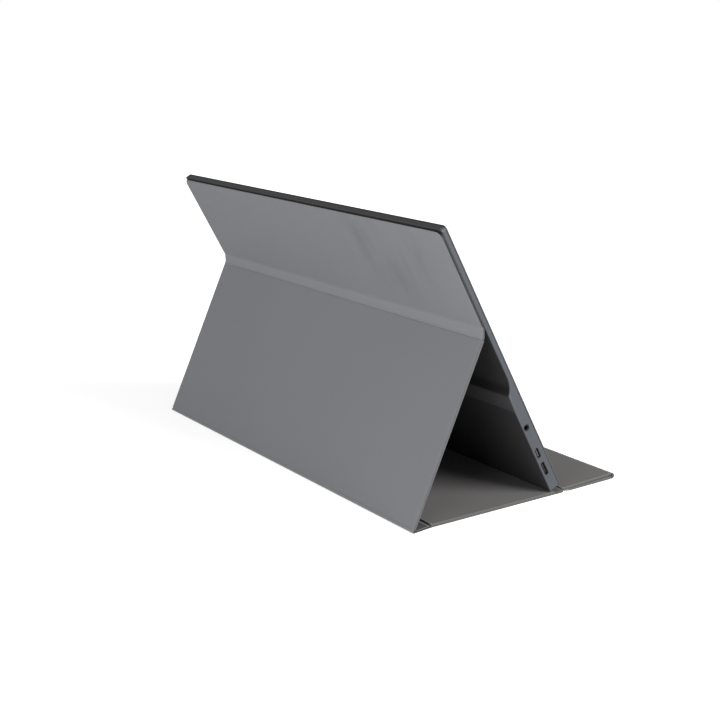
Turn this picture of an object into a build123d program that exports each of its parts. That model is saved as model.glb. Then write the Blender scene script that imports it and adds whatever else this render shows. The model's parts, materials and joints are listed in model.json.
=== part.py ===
"""Portable monitor standing in its folding cover.

The monitor leans back on its bottom edge. The cover's upper panel holds its
back, the kick panel swings out behind it, the spine and the base panel run
forward under it, and the front flap is folded double in front of its foot.

Row frame: +X is the monitor's width, the screen faces -Y, +Z is up, and the
origin is the middle of the footprint on the desk. Millimetres.
"""

from build123d import *
from math import asin, atan2, cos, degrees, hypot, radians, sin, tan
import os

# ------------------------------------------------------------------ monitor
screen_width = 345.2
screen_height = 194.6
side_border = 5.9
top_border = 7.4
chin = 24.4
thick_depth = 10.3
thin_depth = 4.8
monitor_corner = 3.0
tilt = 27.93
bezel_depth = 1.3
bezel_round = 0.6
window_chamfer = 0.4
shell_wall = 1.4
thick_floor = 1.0
thin_floor = 0.8
foot_radius = 2.5
front_foot_radius = 2.0
top_radius = 1.2
back_edge_radius = 0.65
least_round = 0.2
seam = 0.2
seam_depth = 0.35
band_height = 76.4
ridge_height = 90.0
ridge_drop = 0.5
ridge_round = 0.5
band_round = 20.0
ramp_end = 102.4
monitor_width = screen_width + 2 * side_border
monitor_height = screen_height + top_border + chin

# ------------------------------------------------------- display panel stack
module_side_border = 2.7
module_top_border = 4.2
module_foot_border = 4.2
cell_depth = 1.0
film_depth = 0.35
guide_depth = 0.6
reflector_depth = 0.2
tray_floor = 0.35
tray_wall = 0.5
led_bar_height = 3.0
led_count = 24
led_width = 4.0
led_height = 1.0
led_depth = 0.5
led_film = 0.2

# -------------------------------------------------------------- electronics
board_width = 84.0
board_height = 58.0
board_depth = 0.8
board_level = 5.1
board_side_gap = 4.0
board_bottom = 11.0
post_radius = 2.4
post_edge = 5.0
post_side = 13.0
screw_radius = 0.9
screw_gap = 0.05
screw_tip_gap = 0.15
screw_head_radius = 1.8
screw_head_depth = 0.45
screw_hole_depth = 3.0
chip_depth = 1.2
main_chip = 14.0
memory_chip = 8.0
memory_gap = 5.0
memory_spacing = 14.0
filter_length = 5.0
filter_width = 4.0
filter_spacing = 9.0
filter_offset = 8.0
filter_edge = 8.0
filter_count = 4
can_width = 34.0
can_height = 26.0
can_rise = 6.0
can_corner = 1.0
can_depth = 2.2
can_wall = 0.2
driver_side_gap = 25.3
driver_height = 8.0
driver_depth = 0.8
driver_gap = 4.2
cable_width = 22.0
cable_depth = 0.25
cable_lap = 9.0
cable_tail = 2.5
cable_side_gap = 8.0
speaker_width = 34.0
speaker_height = 12.0
speaker_depth = 4.2
speaker_offset = 62.0
cone_width = 28.0
cone_height = 3.4
cone_sink = 1.0
slot_count = 5
slot_spacing = 6.0
slot_width = 4.0
slot_depth = 1.1

# ------------------------------------------------------------ side sockets
socket_level = 3.45
socket_recess = 0.3
socket_gap = 0.15
socket_length = 8.0
socket_wall = 0.3
usb_height = 36.0
usb_width = 8.94
usb_thickness = 3.2
usb_tongue_width = 6.7
hdmi_height = 21.4
hdmi_width = 11.2
hdmi_thickness = 3.2
hdmi_corner = 1.1
hdmi_tongue_width = 8.4
tongue_thickness = 0.7
jack_height = 59.7
jack_bore_radius = 1.8
jack_collar_radius = 2.5
jack_body = 6.2
jack_length = 13.0
jack_bore_depth = 12.0
jack_thickness = 4.7

# ------------------------------------------------------------ side buttons
button_proud = 0.25
button_thickness = 2.6
button_gap = 0.2
power_height = 59.0
power_length = 9.0
button_flange = 0.8
flange_depth = 0.6
flange_gap = 0.05
stem_radius = 0.8
stem_gap = 0.1
stem_length = 1.6
stem_entry = 0.3
switch_body = 5.0
switch_thickness = 3.4
switch_depth = 2.0
switch_bore_depth = 1.1
rocker_height = 35.0
rocker_length = 16.0
rocker_end_gap = 0.5
rocker_depth = 1.5
nub_radius = 0.7
nub_gap = 0.4
pivot_depth = 2.9
pivot_radius = 0.6
pivot_gap = 0.05
pivot_web = 2.0
ear_gap = 0.2
ear_thickness = 0.8
ear_radius = 1.3
button_board_depth = 0.8
button_board_height = 40.0
button_board_width = 4.8

# --------------------------------------------------------------------- cover
cover_overhang = 0.45
cover_top_gap = 1.7
panel_thick = 1.6
base_thick = 2.1
flap_thick = 1.4
spine_thick = 1.3
skin_thick = 0.35
lining_thick = 0.35
hem = 0.7
strip_thick = 0.8
crease_height = 143.0
crease_half = 5.0
stand_spread = 124.87
spine_length = 12.6
corner_setback = 2.6
rear_lift = 0.95
spine_crease = 1.6
foot_setback = 3.5
foot_gap = 0.3
base_crease = 8.0
flap_length = 48.6
tuck_length = 46.4
layer_gap = 0.25
fold_gap = 1.65
cover_corner = 6.0
kick_corner = 1.6
flap_corner = 2.0
edge_round = 0.25
strip_gap = 0.03
desk_gap = 0.01
magnet_length = 22.0
magnet_width = 7.0
magnet_gap = 0.05
magnet_side_gap = 39.0
upper_magnet_count = 6
upper_magnet_edge = 12.0
kick_magnet_count = 4
kick_magnet_edge = 16.0
tuck_magnet_count = 4
tuck_magnet_edge = 10.0
catch_side_gap = 29.0
catch_width = 10.0
catch_setback = 4.0

# ------------------------------------------------- side view of the stand
lean = radians(tilt)
up_y = sin(lean)
up_z = cos(lean)
out_y = -cos(lean)
out_z = sin(lean)
back_step = thick_depth - thin_depth
shell_depth = thick_depth - bezel_depth
cover_width = monitor_width + 2 * cover_overhang

# The spine rises from the desk to the base panel, which slopes down forward.
spine_pitch = asin((rear_lift - desk_gap) / spine_length)
corner_z = desk_gap - corner_setback * sin(spine_pitch)
spine_run = (corner_setback + spine_length) * cos(spine_pitch)
base_run = stand_spread + foot_setback - spine_crease - spine_run
base_pitch = atan2(rear_lift, base_run)
base_length = hypot(base_run, rear_lift)

# The foot's rounded edge rests just above the base panel.
foot_rise = foot_radius * (cos(lean) + sin(lean) - 1)
foot_top = base_thick / cos(base_pitch) + foot_setback * tan(base_pitch)
foot_z = foot_top + foot_gap - foot_rise

# The crease line, seen from the foot's own corner.
skin_step = back_step - panel_thick
crease_dy = crease_height * up_y + skin_step * out_y
crease_z = foot_z + crease_height * up_z + skin_step * out_z

# The kick panel runs from the crease down to the corner behind the spine.
kick_dy = crease_dy - stand_spread
kick_dz = crease_z - corner_z
kick_reach = hypot(kick_dy, kick_dz)
kick_angle = atan2(kick_dz, -kick_dy)
corner_turn = degrees(kick_angle) - degrees(spine_pitch)
corner_turn = 180 - corner_turn
corner_radius = (corner_setback - strip_gap) / tan(radians(corner_turn) / 2)
crease_turn = 180 - tilt - 90 + degrees(kick_angle)
crease_turn = 180 - crease_turn
crease_radius = (crease_half - strip_gap) / tan(radians(crease_turn) / 2)

# The front flap lies on the part folded under it.
flap_pitch = asin((fold_gap - layer_gap) / flap_length)
flap_top_z = flap_thick + fold_gap + flap_thick * cos(flap_pitch)
nose_radius = flap_top_z / (1 + cos(flap_pitch))
nose_drift = flap_thick * sin(flap_pitch)

# Distances from the foot's corner, then the row frame's own places.
rear_reach = stand_spread - corner_setback * cos(spine_pitch)
rear_reach = rear_reach + corner_radius * (1 + sin(spine_pitch))
flap_rear = foot_setback + base_crease
flap_front = flap_rear + flap_length * cos(flap_pitch)
front_reach = flap_front - nose_drift + nose_radius * (1 + sin(flap_pitch))
foot_y = (front_reach - rear_reach) / 2
crease_y = foot_y + crease_dy
corner_y = foot_y + stand_spread
base_front_y = foot_y - foot_setback
spine_front_y = corner_y - spine_run
base_rear_y = spine_front_y - spine_crease
flap_front_y = foot_y - flap_front
nose_y = flap_front_y + nose_drift - nose_radius * sin(flap_pitch)

X_WAY = (1, 0, 0)
UP_WAY = (0, up_y, up_z)
OUT_WAY = (0, out_y, out_z)
MIDDLE_MIN = (Align.CENTER, Align.MIN)


def back_plane(depth):
    """Plane across the monitor, `depth` in front of its thick back: local x, height."""
    origin = (0, foot_y + depth * out_y, foot_z + depth * out_z)
    return Plane(origin=origin, x_dir=X_WAY, z_dir=OUT_WAY)


def side_plane(x):
    """Plane along the monitor's side: local height, depth from the thick back."""
    return Plane(origin=(x, foot_y, foot_z), x_dir=UP_WAY, z_dir=X_WAY)


def save(builder, name):
    """Label one finished piece and write it."""
    builder.part.label = name
    export_step(builder.part, f"parts/{name}.step")


os.makedirs("parts", exist_ok=True)


# ================================================================== monitor
def draw_shell_profile(sketch, inset, floor, thin, front):
    """Side outline of the housing, drawn in by the wall; open towards `front`."""
    ramp_radius = (ramp_end - ridge_height) ** 2
    ramp_radius = ramp_radius / (2 * (back_step - ridge_drop))
    ramp_radius = ramp_radius + (back_step - ridge_drop) / 2
    ramp_turn = degrees(asin((ramp_end - ridge_height) / ramp_radius))
    low_round = foot_radius - inset
    high_round = max(top_radius - inset, least_round)
    top = monitor_height - inset
    thin_level = back_step + thin
    with BuildLine() as outline:
        high = JernArc(
            start=(top, thin_level + high_round),
            tangent=(0, -1),
            radius=high_round,
            arc_size=-90,
        )
        ramp = JernArc(
            start=(ramp_end, thin_level),
            tangent=(-1, 0),
            radius=ramp_radius + thin,
            arc_size=ramp_turn,
        )
        low = JernArc(
            start=(inset + low_round, floor),
            tangent=(-1, 0),
            radius=low_round,
            arc_size=-90,
        )
        Line(high @ 1, ramp @ 0)
        Polyline(ramp @ 1, (band_height, floor), low @ 0)
        Polyline(low @ 1, (inset, front), (top, front), high @ 0)
    make_face(outline.edges())
    ridge = Vertex(*(ramp @ 1))
    fillet(sketch.vertices().sort_by_distance(ridge)[0], ridge_round)
    band_edge = Vertex(band_height, floor)
    fillet(sketch.vertices().sort_by_distance(band_edge)[0], band_round)


def draw_monitor_outline(inset):
    """The monitor's outline seen from the front, drawn in by `inset`."""
    with Locations((0, monitor_height / 2)):
        RectangleRounded(
            monitor_width - 2 * inset,
            monitor_height - 2 * inset,
            monitor_corner - inset,
        )


def board_posts():
    """Places of the main board's four posts, as width and height."""
    left = -monitor_width / 2 + board_side_gap + post_side
    right = left + board_width - post_side - post_edge
    low = board_bottom + post_edge
    high = low + board_height - 2 * post_edge
    return [(left, low), (left, high), (right, low), (right, high)]


def draw_seam_ring():
    """What the joint line's groove takes off the monitor's sides."""
    with Locations((0, monitor_height / 2)):
        Rectangle(monitor_width + 2 * seam, monitor_height + 2 * seam)
        RectangleRounded(
            monitor_width - 2 * seam_depth,
            monitor_height - 2 * seam_depth,
            monitor_corner - seam_depth,
            mode=Mode.SUBTRACT,
        )


def is_back_side_edge(edge):
    """True for the edges where the housing's back meets its two sides."""
    middle = edge @ 0.5
    height = (middle.Y - foot_y) * up_y + (middle.Z - foot_z) * up_z
    depth = (middle.Y - foot_y) * out_y + (middle.Z - foot_z) * out_z
    along_side = abs(edge.tangent_at(0.5).X) < 0.5
    inside = 0 < round(height, 3) < round(monitor_height, 3)
    return along_side and inside and depth < back_step + top_radius


def draw_speaker_slots():
    """Two rows of sound slots, over the speakers."""
    for place in (-speaker_offset, speaker_offset):
        with Locations((place, -thick_floor - speaker_depth / 2)):
            with GridLocations(slot_spacing, slot_depth, slot_count, 1):
                Rectangle(slot_width, slot_depth)


with BuildPart() as housing_cavity:
    with BuildSketch(side_plane(0)) as side_view:
        draw_shell_profile(side_view, shell_wall, thick_floor, thin_floor, thick_depth)
    extrude(amount=monitor_width / 2, both=True)
    with BuildSketch(back_plane(0)):
        draw_monitor_outline(shell_wall)
    extrude(amount=thick_depth, mode=Mode.INTERSECT)

with BuildPart() as foot_form:
    with BuildSketch(side_plane(0)) as side_view:
        Rectangle(monitor_height, thick_depth, align=(Align.MIN, Align.MIN))
        foot_corners = side_view.vertices().group_by(Axis.X)[0]
        fillet(foot_corners.sort_by(Axis.Y)[-1], front_foot_radius)
    extrude(amount=monitor_width / 2, both=True)

with BuildPart() as rear_shell:
    with BuildSketch(side_plane(0)) as side_view:
        draw_shell_profile(side_view, 0, 0, 0, shell_depth)
    extrude(amount=monitor_width / 2, both=True)
    fillet(rear_shell.edges().filter_by(is_back_side_edge), back_edge_radius)
    with BuildSketch(back_plane(0)):
        draw_monitor_outline(0)
    extrude(amount=shell_depth, mode=Mode.INTERSECT)
    add(foot_form.part, mode=Mode.INTERSECT)
    with BuildSketch(back_plane(shell_depth - seam)):
        draw_seam_ring()
    extrude(amount=seam, mode=Mode.SUBTRACT)
    add(housing_cavity.part, mode=Mode.SUBTRACT)
    with BuildSketch(back_plane(thick_floor)):
        with Locations(*board_posts()):
            RegularPolygon(post_radius, 8)
    extrude(amount=board_level - thick_floor)
    with BuildSketch(back_plane(board_level)):
        with Locations(*board_posts()):
            Circle(screw_radius + screw_gap)
    extrude(amount=-screw_hole_depth, mode=Mode.SUBTRACT)
    # sockets through the near side wall
    with BuildSketch(side_plane(-monitor_width / 2)):
        with Locations((usb_height, socket_level)):
            SlotOverall(usb_width + 2 * socket_gap, usb_thickness + 2 * socket_gap)
        with Locations((hdmi_height, socket_level)):
            RectangleRounded(
                hdmi_width + 2 * socket_gap,
                hdmi_thickness + 2 * socket_gap,
                hdmi_corner + socket_gap,
            )
        with Locations((jack_height, socket_level)):
            Circle(jack_collar_radius + socket_gap)
    extrude(amount=shell_wall, mode=Mode.SUBTRACT)
    # buttons through the far side wall
    with BuildSketch(side_plane(monitor_width / 2)):
        with Locations((power_height, socket_level)):
            SlotOverall(power_length + 2 * button_gap, button_thickness + 2 * button_gap)
        with Locations((rocker_height, socket_level)):
            SlotOverall(
                rocker_length + 2 * rocker_end_gap, button_thickness + 2 * button_gap
            )
    extrude(amount=-shell_wall, mode=Mode.SUBTRACT)
    # sound slots through the bottom wall
    bottom_wall = Plane(origin=(0, foot_y, foot_z), x_dir=X_WAY, z_dir=UP_WAY)
    with BuildSketch(bottom_wall):
        draw_speaker_slots()
    extrude(amount=shell_wall, mode=Mode.SUBTRACT)
save(rear_shell, "rear_shell")

with BuildPart() as front_bezel:
    with BuildSketch(back_plane(shell_depth)):
        draw_monitor_outline(0)
    extrude(amount=bezel_depth)
    outer_face = front_bezel.faces().sort_by(Axis((0, 0, 0), OUT_WAY))[-1]
    fillet(outer_face.edges(), bezel_round)
    add(foot_form.part, mode=Mode.INTERSECT)
    with BuildSketch(back_plane(shell_depth)):
        draw_seam_ring()
    extrude(amount=seam, mode=Mode.SUBTRACT)
    with BuildSketch(back_plane(shell_depth)):
        with Locations((0, monitor_height - top_border - screen_height / 2)):
            Rectangle(screen_width, screen_height)
    extrude(amount=bezel_depth, mode=Mode.SUBTRACT)
    window = front_bezel.faces().sort_by(Axis((0, 0, 0), OUT_WAY))[-1]
    chamfer(window.inner_wires()[0].edges(), window_chamfer)
save(front_bezel, "front_bezel")

module_width = screen_width + 2 * module_side_border
module_height = screen_height + module_top_border + module_foot_border
module_bottom = chin - module_foot_border
module_middle = module_bottom + module_height / 2
cell_level = shell_depth - cell_depth
film_level = cell_level - film_depth
guide_level = film_level - guide_depth
reflector_level = guide_level - reflector_depth
tray_level = reflector_level - tray_floor
sheet_width = module_width - 2 * tray_wall
sheet_height = module_height - 2 * tray_wall - led_bar_height
sheet_middle = module_bottom + tray_wall + led_bar_height + sheet_height / 2


def build_sheet(name, level, depth, width, height, middle):
    """One flat layer of the display, as wide and high as given."""
    with BuildPart() as layer:
        with BuildSketch(back_plane(level)):
            with Locations((0, middle)):
                Rectangle(width, height)
        extrude(amount=depth)
    save(layer, name)


build_sheet(
    "lcd_cell", cell_level, cell_depth, module_width, module_height, module_middle
)
build_sheet(
    "diffuser_films", film_level, film_depth, sheet_width, sheet_height, sheet_middle
)
build_sheet(
    "light_guide", guide_level, guide_depth, sheet_width, sheet_height, sheet_middle
)
build_sheet(
    "reflector_sheet",
    reflector_level,
    reflector_depth,
    sheet_width,
    sheet_height,
    sheet_middle,
)

with BuildPart() as panel_tray:
    with BuildSketch(back_plane(tray_level)):
        with Locations((0, module_middle)):
            Rectangle(module_width, module_height)
    extrude(amount=cell_level - tray_level)
    with BuildSketch(back_plane(reflector_level)):
        with Locations((0, module_middle)):
            Rectangle(sheet_width, module_height - 2 * tray_wall)
    extrude(amount=cell_level - reflector_level, mode=Mode.SUBTRACT)
save(panel_tray, "panel_tray")

with BuildPart() as led_strip:
    with BuildSketch(back_plane(reflector_level)):
        with Locations((0, module_bottom + tray_wall)):
            Rectangle(sheet_width, led_bar_height, align=MIDDLE_MIN)
    extrude(amount=led_film)
    with BuildSketch(back_plane(reflector_level + led_film)):
        with Locations((0, module_bottom + tray_wall + led_bar_height - led_height)):
            with GridLocations(sheet_width / led_count, led_height, led_count, 1):
                Rectangle(led_width, led_height)
    extrude(amount=led_depth)
save(led_strip, "led_strip")

# ------------------------------------------------------------- electronics
board_left = -monitor_width / 2 + board_side_gap
board_middle = board_bottom + board_height / 2
board_front = board_level + board_depth
jack_left = -monitor_width / 2 + socket_recess

with BuildPart() as main_board:
    with BuildSketch(back_plane(board_level)):
        with Locations((board_left, board_bottom)):
            Rectangle(board_width, board_height, align=(Align.MIN, Align.MIN))
        with Locations(*board_posts()):
            Circle(screw_radius + screw_gap, mode=Mode.SUBTRACT)
        with Locations((jack_left, jack_height)):
            Rectangle(
                jack_length + 2 * socket_gap,
                jack_body + 2 * socket_gap,
                align=(Align.MIN, Align.CENTER),
                mode=Mode.SUBTRACT,
            )
    extrude(amount=board_depth)
save(main_board, "main_board")

with BuildPart() as board_screws:
    with BuildSketch(back_plane(board_front)):
        with Locations(*board_posts()):
            RegularPolygon(screw_head_radius, 6)
    extrude(amount=screw_head_depth)
    with BuildSketch(back_plane(board_front)):
        with Locations(*board_posts()):
            Circle(screw_radius)
    extrude(amount=screw_tip_gap - screw_hole_depth)
save(board_screws, "board_screws")

can_x = board_left + board_width / 2
can_y = board_middle + can_rise
memory_x = can_x + can_width / 2 + memory_gap + memory_chip / 2

with BuildPart() as shield_can:
    with BuildSketch(back_plane(board_level)):
        with Locations((can_x, can_y)):
            RectangleRounded(can_width, can_height, can_corner)
    extrude(amount=-can_depth)
    with BuildSketch(back_plane(board_level)):
        with Locations((can_x, can_y)):
            Rectangle(can_width - 2 * can_wall, can_height - 2 * can_wall)
    extrude(amount=can_wall - can_depth, mode=Mode.SUBTRACT)
save(shield_can, "shield_can")

with BuildPart() as board_chips:
    with BuildSketch(back_plane(board_level)):
        with Locations((can_x, can_y)):
            Rectangle(main_chip, main_chip)
        with Locations((memory_x, can_y), (memory_x, can_y - memory_spacing)):
            Rectangle(memory_chip, memory_chip)
        with Locations((can_x - filter_offset, board_bottom + filter_edge)):
            with GridLocations(filter_spacing, filter_width, filter_count, 1):
                Rectangle(filter_length, filter_width)
    extrude(amount=-chip_depth)
save(board_chips, "board_chips")

driver_top = module_bottom - driver_gap
driver_width = module_width - 2 * driver_side_gap

with BuildPart() as driver_board:
    with BuildSketch(back_plane(shell_depth)):
        with Locations((0, driver_top - driver_height)):
            Rectangle(driver_width, driver_height, align=MIDDLE_MIN)
    extrude(amount=-driver_depth)
save(driver_board, "driver_board")

cable_rise = shell_depth - driver_depth - board_front
cable_turn = cable_rise / 2
cable_bend = driver_top - cable_tail
cable_x = board_left + board_width - cable_side_gap - cable_width / 2

with BuildPart() as display_cable:
    with BuildSketch(side_plane(cable_x)):
        with BuildLine():
            outside = JernArc(
                start=(cable_bend, board_front),
                tangent=(-1, 0),
                radius=cable_turn,
                arc_size=-180,
            )
            inside = JernArc(
                start=(cable_bend, board_front + cable_depth),
                tangent=(-1, 0),
                radius=cable_turn - cable_depth,
                arc_size=-180,
            )
            Polyline(
                outside @ 0,
                (cable_bend + cable_lap, board_front),
                (cable_bend + cable_lap, board_front + cable_depth),
                inside @ 0,
            )
            Polyline(
                outside @ 1,
                (driver_top, board_front + cable_rise),
                (driver_top, board_front + cable_rise - cable_depth),
                inside @ 1,
            )
        make_face()
    extrude(amount=cable_width / 2, both=True)
save(display_cable, "display_cable")


def build_speaker(name, place):
    """One small speaker: its case, with the cone sunk into its front."""
    middle = thick_floor + speaker_depth / 2
    with BuildPart() as speaker:
        with BuildSketch(back_plane(thick_floor)):
            with Locations((place, foot_radius)):
                Rectangle(speaker_width, speaker_height, align=MIDDLE_MIN)
        extrude(amount=speaker_depth)
        sound_face = Plane(origin=(place, foot_y, foot_z), x_dir=X_WAY, z_dir=UP_WAY)
        with BuildSketch(sound_face.offset(foot_radius)):
            with Locations((0, -middle)):
                SlotOverall(cone_width, cone_height)
        extrude(amount=cone_sink, mode=Mode.SUBTRACT)
    save(speaker, name)


build_speaker("speaker_left", -speaker_offset)
build_speaker("speaker_right", speaker_offset)

# ------------------------------------------------------------- side sockets
mouth_x = -monitor_width / 2 + socket_recess

with BuildPart() as usb_c_port:
    with BuildSketch(side_plane(mouth_x)):
        with Locations((usb_height, socket_level)):
            SlotOverall(usb_width, usb_thickness)
    extrude(amount=socket_length)
    with BuildSketch(side_plane(mouth_x)):
        with Locations((usb_height, socket_level)):
            SlotOverall(usb_width - 2 * socket_wall, usb_thickness - 2 * socket_wall)
    extrude(amount=socket_length - socket_wall, mode=Mode.SUBTRACT)
    with BuildSketch(side_plane(mouth_x + socket_length)):
        with Locations((usb_height, socket_level)):
            Rectangle(usb_tongue_width, tongue_thickness)
    extrude(amount=-(socket_length - socket_wall * 2))
save(usb_c_port, "usb_c_port")

with BuildPart() as mini_hdmi_port:
    with BuildSketch(side_plane(mouth_x)):
        with Locations((hdmi_height, socket_level)):
            RectangleRounded(hdmi_width, hdmi_thickness, hdmi_corner)
    extrude(amount=socket_length)
    with BuildSketch(side_plane(mouth_x)):
        with Locations((hdmi_height, socket_level)):
            RectangleRounded(
                hdmi_width - 2 * socket_wall,
                hdmi_thickness - 2 * socket_wall,
                hdmi_corner - socket_wall,
            )
    extrude(amount=socket_length - socket_wall, mode=Mode.SUBTRACT)
    with BuildSketch(side_plane(mouth_x + socket_length)):
        with Locations((hdmi_height, socket_level)):
            Rectangle(hdmi_tongue_width, tongue_thickness)
    extrude(amount=-(socket_length - socket_wall * 2))
save(mini_hdmi_port, "mini_hdmi_port")

with BuildPart() as headphone_jack:
    with BuildSketch(side_plane(mouth_x)):
        with Locations((jack_height, socket_level)):
            Circle(jack_collar_radius)
    extrude(amount=shell_wall - socket_recess)
    with BuildSketch(side_plane(-monitor_width / 2 + shell_wall)):
        with Locations((jack_height, socket_level)):
            Rectangle(jack_body, jack_thickness)
    extrude(amount=jack_length - shell_wall + socket_recess)
    with BuildSketch(side_plane(mouth_x)):
        with Locations((jack_height, socket_level)):
            Circle(jack_bore_radius)
    extrude(amount=jack_bore_depth, mode=Mode.SUBTRACT)
save(headphone_jack, "headphone_jack")

# ------------------------------------------------------------- side buttons
inner_wall_x = monitor_width / 2 - shell_wall
flange_x = inner_wall_x - flange_gap
stem_x = flange_x - flange_depth
switch_x = stem_x - stem_length + stem_entry
button_board_x = switch_x - switch_depth
cap_x = monitor_width / 2 + button_proud
pivot_x = monitor_width / 2 - pivot_depth

with BuildPart() as power_button:
    with BuildSketch(side_plane(flange_x)):
        with Locations((power_height, socket_level)):
            SlotOverall(power_length, button_thickness)
    extrude(amount=cap_x - flange_x)
    cap_edge = power_button.faces().sort_by(Axis.X)[-1].edges()
    chamfer(cap_edge, button_proud)
    with BuildSketch(side_plane(flange_x)):
        with Locations((power_height, socket_level)):
            SlotOverall(
                power_length + 2 * button_flange, button_thickness + 2 * button_flange
            )
    extrude(amount=-flange_depth)
    with BuildSketch(side_plane(stem_x)):
        with Locations((power_height, socket_level)):
            Circle(stem_radius)
    extrude(amount=-stem_length)
save(power_button, "power_button")

with BuildPart() as menu_rocker:
    with BuildSketch(side_plane(cap_x)):
        with Locations((rocker_height, socket_level)):
            SlotOverall(rocker_length, button_thickness)
    extrude(amount=-rocker_depth)
    rocker_face = menu_rocker.faces().sort_by(Axis.X)[-1].edges()
    chamfer(rocker_face, button_proud)
    with BuildSketch(side_plane(cap_x - rocker_depth)):
        with Locations((rocker_height, socket_level)):
            Rectangle(pivot_web, button_thickness)
    extrude(amount=pivot_x - cap_x + rocker_depth)
    with BuildSketch(side_plane(cap_x - rocker_depth)):
        with Locations((rocker_height, socket_level)):
            with GridLocations(rocker_length - switch_body, 1, 2, 1):
                Rectangle(2 * nub_radius, 2 * nub_radius)
    extrude(amount=switch_x + nub_gap - cap_x + rocker_depth)
    pivot_half = button_thickness / 2 + ear_gap + ear_thickness
    with BuildSketch(back_plane(socket_level)):
        with Locations((pivot_x, rocker_height)):
            Circle(pivot_radius)
    extrude(amount=pivot_half, both=True)
save(menu_rocker, "menu_rocker")

ear_inner = button_thickness / 2 + ear_gap

with BuildPart() as rocker_bracket:
    for way in (-1, 1):
        with BuildSketch(back_plane(socket_level + way * ear_inner)):
            with Locations((pivot_x, rocker_height)):
                Circle(ear_radius)
            with Locations((button_board_x, rocker_height)):
                Rectangle(
                    pivot_x - button_board_x,
                    2 * ear_radius,
                    align=(Align.MIN, Align.CENTER),
                )
            with Locations((pivot_x, rocker_height)):
                Circle(pivot_radius + pivot_gap, mode=Mode.SUBTRACT)
        extrude(amount=way * ear_thickness)
save(rocker_bracket, "rocker_bracket")

with BuildPart() as side_switches:
    with BuildSketch(side_plane(button_board_x)):
        with Locations((power_height, socket_level)):
            Rectangle(switch_body, switch_thickness)
    extrude(amount=switch_depth)
    with BuildSketch(side_plane(switch_x)):
        with Locations((power_height, socket_level)):
            Circle(stem_radius + stem_gap)
    extrude(amount=-switch_bore_depth, mode=Mode.SUBTRACT)
    with BuildSketch(side_plane(button_board_x)):
        with Locations((rocker_height, socket_level)):
            with GridLocations(rocker_length - switch_body, 1, 2, 1):
                Rectangle(switch_body, switch_thickness)
    extrude(amount=switch_depth)
save(side_switches, "side_switches")

button_board_middle = (power_height + rocker_height) / 2

with BuildPart() as button_board:
    with BuildSketch(side_plane(button_board_x)):
        with Locations((button_board_middle, thick_floor)):
            Rectangle(button_board_height, button_board_width, align=MIDDLE_MIN)
    extrude(amount=-button_board_depth)
save(button_board, "button_board")


# ==================================================================== cover
def draw_panel(sketch, length, inset, near_radius, far_radius):
    """A panel's outline from its near edge at y = 0, drawn in by `inset`."""
    with Locations((0, inset)):
        Rectangle(cover_width - 2 * inset, length - 2 * inset, align=MIDDLE_MIN)
    if near_radius > inset:
        fillet(sketch.vertices().group_by(Axis.Y)[0], near_radius - inset)
    if far_radius > inset:
        fillet(sketch.vertices().group_by(Axis.Y)[-1], far_radius - inset)


def magnet_row(count, edge):
    """Places of a row of magnets, `edge` up from the panel's near edge."""
    first = magnet_side_gap - cover_width / 2
    spacing = -2 * first / (count - 1)
    return [(first + spacing * number, edge) for number in range(count)]


def build_panel(name, place, length, thick, corners, inserts=(), insert_size=None):
    """One stiff panel of the cover: outer skin with its hem, board and lining.

    `place` lies on the outer face with z towards the lining.
    """
    near_radius, far_radius = corners
    with BuildPart() as skin:
        with BuildSketch(place) as outline:
            draw_panel(outline, length, 0, near_radius, far_radius)
        extrude(amount=thick)
        outside = skin.faces().sort_by(Axis((0, 0, 0), place.z_dir))[0]
        chamfer(outside.edges(), edge_round)
        with BuildSketch(place.offset(skin_thick)) as pocket:
            draw_panel(pocket, length, hem, near_radius, far_radius)
        extrude(amount=thick, mode=Mode.SUBTRACT)
    save(skin, f"{name}_skin")

    board_thick = thick - skin_thick - lining_thick
    with BuildPart() as board:
        with BuildSketch(place.offset(skin_thick)) as core:
            draw_panel(core, length, hem, near_radius, far_radius)
        extrude(amount=board_thick)
        if inserts:
            with BuildSketch(place.offset(skin_thick)):
                with Locations(*inserts):
                    Rectangle(insert_size[0], insert_size[1])
            extrude(amount=board_thick, mode=Mode.SUBTRACT)
    save(board, f"{name}_board")

    with BuildPart() as lining:
        with BuildSketch(place.offset(thick - lining_thick)) as sheet:
            draw_panel(sheet, length, hem, near_radius, far_radius)
        extrude(amount=lining_thick)
    save(lining, f"{name}_lining")

    if inserts:
        with BuildPart() as metal:
            with BuildSketch(place.offset(skin_thick)):
                with Locations(*inserts):
                    Rectangle(
                        insert_size[0] - 2 * magnet_gap, insert_size[1] - 2 * magnet_gap
                    )
            extrude(amount=board_thick)
        return metal
    return None


MAGNET = (magnet_length, magnet_width)

upper_length = monitor_height - cover_top_gap - crease_height - crease_half
upper_place = Plane(
    origin=(0, crease_y + crease_half * up_y, crease_z + crease_half * up_z),
    x_dir=X_WAY,
    z_dir=OUT_WAY,
)
upper_row = magnet_row(upper_magnet_count, upper_length - upper_magnet_edge)
upper_metal = build_panel(
    "upper_panel",
    upper_place,
    upper_length,
    panel_thick,
    (0, cover_corner),
    upper_row,
    MAGNET,
)
save(upper_metal, "upper_panel_magnets")

kick_y = cos(kick_angle)
kick_z = sin(kick_angle)
kick_length = kick_reach - crease_half - corner_setback
kick_place = Plane(
    origin=(0, corner_y - corner_setback * kick_y, corner_z + corner_setback * kick_z),
    x_dir=X_WAY,
    z_dir=(0, -kick_z, -kick_y),
)
kick_row = magnet_row(kick_magnet_count, kick_magnet_edge)
kick_metal = build_panel(
    "kick_panel", kick_place, kick_length, panel_thick, (kick_corner, 0), kick_row, MAGNET
)
save(kick_metal, "kick_panel_magnets")

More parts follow.
